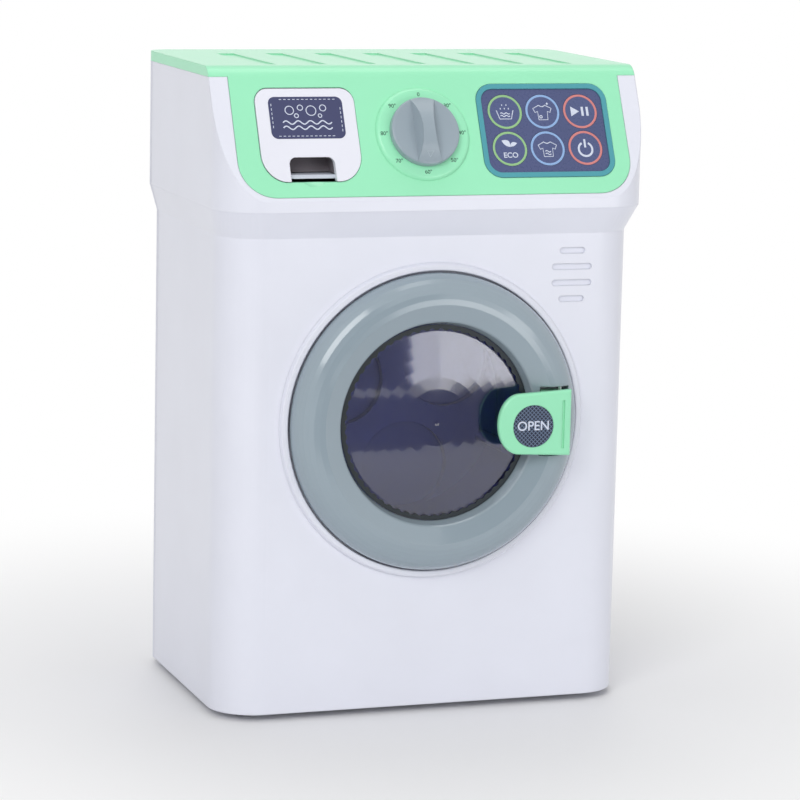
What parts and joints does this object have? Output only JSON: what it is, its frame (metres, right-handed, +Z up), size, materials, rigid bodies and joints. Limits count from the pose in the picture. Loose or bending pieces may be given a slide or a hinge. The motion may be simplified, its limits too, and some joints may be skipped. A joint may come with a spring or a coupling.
{
  "type": "toy washing machine",
  "caption": "Toy front-loading washing machine with a hinged porthole door, sprung latch, turning drum, dial, soap drawer and short-travel keys on a slanted mint panel.",
  "frame": {"origin": "on the floor under the middle of the box that holds the whole toy", "axes": "+Z up, +X to the right as seen from the front, +Y from the front to the back, so the door and the panel face -Y"},
  "size_m": [0.197, 0.139, 0.285],
  "materials": {
    "white_plastic": "moulded plastic with a low satin gloss",
    "white_back_plastic": "moulded plastic with a fine matt texture",
    "mint_plastic": "glossy moulded plastic",
    "grey_green_plastic": "satin moulded plastic",
    "navy_window": "clear moulded pane tinted navy",
    "drum_plastic": "glossy moulded plastic",
    "tub_plastic": "matt moulded plastic",
    "knob_plastic": "satin moulded plastic",
    "drawer_plastic": "moulded plastic with a low gloss",
    "tray_plastic": "matt moulded plastic",
    "teal_plastic": "satin moulded plastic",
    "navy_plastic": "satin moulded plastic",
    "key_plastic": "satin keys with a coloured ring and a pale sign",
    "gear_plastic": "low-friction moulded plastic",
    "black_plastic": "matt moulded plastic",
    "speaker_black": "paper cone in a pressed frame",
    "board_green": "coated glass-fibre board",
    "wire_red": "insulated wire",
    "steel": "ground steel",
    "screw_steel": "plated steel",
    "spring_steel": "spring steel",
    "motor_steel": "plated steel can",
    "bush_brass": "sintered brass",
    "foot_rubber": "soft rubber"
  },
  "bodies": {
    "root": {"front_shell": "white_plastic", "rear_cover": "white_back_plastic", "control_panel": "mint_plastic", "feet": "foot_rubber", "case_screws": "screw_steel", "panel_screws": "screw_steel", "outer_tub": "tub_plastic", "tub_screws": "screw_steel", "drum_bush": "bush_brass", "reduction_axle": "steel", "gear_plate": "tub_plastic", "gear_plate_screws": "screw_steel", "motor": "motor_steel", "motor_screws": "screw_steel", "click_spring": "spring_steel", "drawer_sleeve": "tub_plastic", "sleeve_screws": "screw_steel", "key_frame": "teal_plastic", "key_plate": "navy_plastic", "circuit_board": "board_green", "key_switches": "black_plastic", "board_screws": "screw_steel", "speaker": "speaker_black", "speaker_screws": "screw_steel", "battery_door": "white_back_plastic", "battery_door_screw": "screw_steel", "battery_contacts": "spring_steel", "switch_body": "black_plastic", "wiring": "wire_red"},
    "door": {"door_ring": "grey_green_plastic", "door_window": "navy_window", "door_back": "white_plastic", "door_screws": "screw_steel", "door_hinge_pin": "steel", "latch_pin": "steel", "latch_spring": "spring_steel"},
    "latch": {"latch": "mint_plastic"},
    "drum": {"drum": "drum_plastic", "drum_shaft": "steel", "drum_gear": "gear_plastic"},
    "reduction": {"reduction_gear": "gear_plastic"},
    "rotor": {"motor_shaft": "steel", "motor_pinion": "bush_brass"},
    "knob": {"knob": "knob_plastic", "knob_click_wheel": "gear_plastic", "knob_screw": "screw_steel"},
    "drawer": {"drawer_front": "drawer_plastic", "drawer_tray": "tray_plastic"},
    "power_switch": {"switch_knob": "black_plastic"},
    "key_soak": {"key_soak": "key_plastic"},
    "key_shirt": {"key_shirt": "key_plastic"},
    "key_play": {"key_play": "key_plastic"},
    "key_leaf": {"key_leaf": "key_plastic"},
    "key_dry": {"key_dry": "key_plastic"},
    "key_power": {"key_power": "key_plastic"}
  },
  "joints": [
    {"name": "door_hinge", "type": "hinge", "parent": "root", "child": "door", "pos_m": [-0.0625, -0.0572, 0.131], "axis": [0, 0, -1], "range_deg": [0, 95]},
    {"name": "latch_pull", "type": "hinge", "parent": "door", "child": "latch", "pos_m": [0.0565, -0.0605, 0.131], "axis": [0, 0, 1], "range_deg": [0, 12], "stiffness_Nm_per_rad": 0.03, "springref_deg": -17.19},
    {"name": "drum_spin", "type": "hinge", "parent": "root", "child": "drum", "pos_m": [0, -0.02, 0.131], "axis": [0, 1, 0], "continuous": true},
    {"name": "reduction_spin", "type": "hinge", "parent": "root", "child": "reduction", "pos_m": [0.02602, 0.018, 0.11597], "axis": [0, 1, 0], "continuous": true},
    {"name": "rotor_spin", "type": "hinge", "parent": "root", "child": "rotor", "pos_m": [0.02602, 0.023, 0.09592], "axis": [0, 1, 0], "continuous": true},
    {"name": "knob_turn", "type": "hinge", "parent": "root", "child": "knob", "pos_m": [-0.0054, -0.04657, 0.25625], "axis": [0, -0.8957, 0.4446], "range_deg": [-135, 180]},
    {"name": "drawer_slide", "type": "slide", "parent": "root", "child": "drawer", "axis": [0, -1, 0], "range_m": [0, 0.026]},
    {"name": "switch_slide", "type": "slide", "parent": "root", "child": "power_switch", "axis": [1, 0, 0], "range_m": [0, 0.004]},
    {"name": "key_soak_press", "type": "slide", "parent": "root", "child": "key_soak", "axis": [0, 0.8957, -0.4446], "range_m": [0, 0.0008], "stiffness_N_per_m": 300},
    {"name": "key_shirt_press", "type": "slide", "parent": "root", "child": "key_shirt", "axis": [0, 0.8957, -0.4446], "range_m": [0, 0.0008], "stiffness_N_per_m": 300},
    {"name": "key_play_press", "type": "slide", "parent": "root", "child": "key_play", "axis": [0, 0.8957, -0.4446], "range_m": [0, 0.0008], "stiffness_N_per_m": 300},
    {"name": "key_leaf_press", "type": "slide", "parent": "root", "child": "key_leaf", "axis": [0, 0.8957, -0.4446], "range_m": [0, 0.0008], "stiffness_N_per_m": 300},
    {"name": "key_dry_press", "type": "slide", "parent": "root", "child": "key_dry", "axis": [0, 0.8957, -0.4446], "range_m": [0, 0.0008], "stiffness_N_per_m": 300},
    {"name": "key_power_press", "type": "slide", "parent": "root", "child": "key_power", "axis": [0, 0.8957, -0.4446], "range_m": [0, 0.0008], "stiffness_N_per_m": 300}
  ],
  "couplings": [
    {"joint": "reduction_spin", "follows": "drum_spin", "ratio": -5},
    {"joint": "rotor_spin", "follows": "drum_spin", "ratio": 15}
  ]
}
